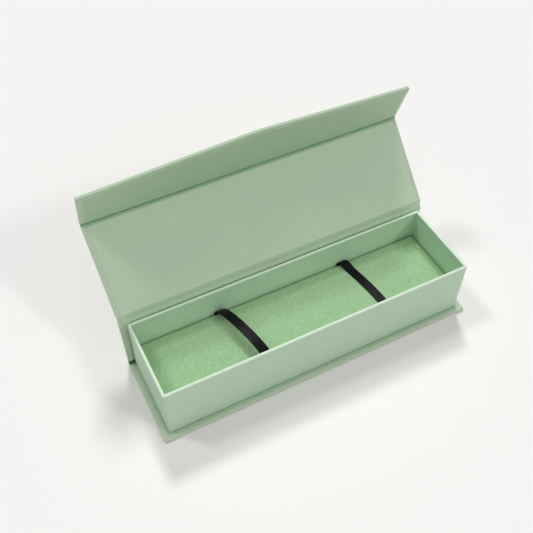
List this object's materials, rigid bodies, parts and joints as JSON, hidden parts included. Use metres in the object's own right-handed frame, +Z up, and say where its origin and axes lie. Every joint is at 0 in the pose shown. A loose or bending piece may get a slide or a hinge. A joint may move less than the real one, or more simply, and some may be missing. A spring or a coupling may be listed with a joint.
{
  "type": "watch presentation box",
  "caption": "Long paper-covered presentation box, book style, with a hinged lid, a front flap, a deep tray and a suede pad crossed by two bands.",
  "frame": {"origin": "underside of the base on the table, under the middle of the tray", "axes": "+X along the box, +Y from the front flap's side to the spine, +Z up"},
  "size_m": [0.239, 0.1187, 0.1323],
  "materials": {
    "cover_paper": "matte",
    "liner_paper": "matte",
    "tray_paper": "matte",
    "grey_board": "matte",
    "corner_tape": "matte",
    "magnet": "satin",
    "foam": "matte",
    "suede_cloth": "matte",
    "band_cloth": "matte"
  },
  "bodies": {
    "base": {"base_board": "grey_board", "base_cover_paper": "cover_paper", "base_liner_paper": "liner_paper", "base_hinge_paper": "cover_paper", "spine_board": "grey_board", "spine_cover_paper": "cover_paper", "spine_liner_paper": "liner_paper", "tray_floor_board": "grey_board", "tray_front_board": "grey_board", "tray_back_board": "grey_board", "tray_left_board": "grey_board", "tray_right_board": "grey_board", "tray_corner_tapes": "corner_tape", "tray_wrap_paper": "tray_paper", "tray_magnets": "magnet", "insert_riser": "grey_board", "insert_foam": "foam", "insert_cover": "suede_cloth", "strap_left": "band_cloth", "strap_right": "band_cloth", "lid_hinge_paper": "cover_paper"},
    "lid": {"lid_board": "grey_board", "lid_cover_paper": "cover_paper", "lid_liner_paper": "liner_paper", "flap_hinge_paper": "cover_paper"},
    "flap": {"flap_board": "grey_board", "flap_cover_paper": "cover_paper", "flap_liner_paper": "liner_paper", "flap_magnets": "magnet"}
  },
  "joints": [
    {"name": "lid_hinge", "type": "hinge", "parent": "base", "child": "lid", "pos_m": [0, 0.0349, 0.05025], "axis": [1, 0, 0], "range_deg": [-45, 135], "deforming": ["lid_hinge_paper"]},
    {"name": "flap_hinge", "type": "hinge", "parent": "lid", "child": "flap", "pos_m": [0, 0.08058, 0.09847], "axis": [1, 0, 0], "range_deg": [-60, 26], "deforming": ["flap_hinge_paper"]}
  ]
}
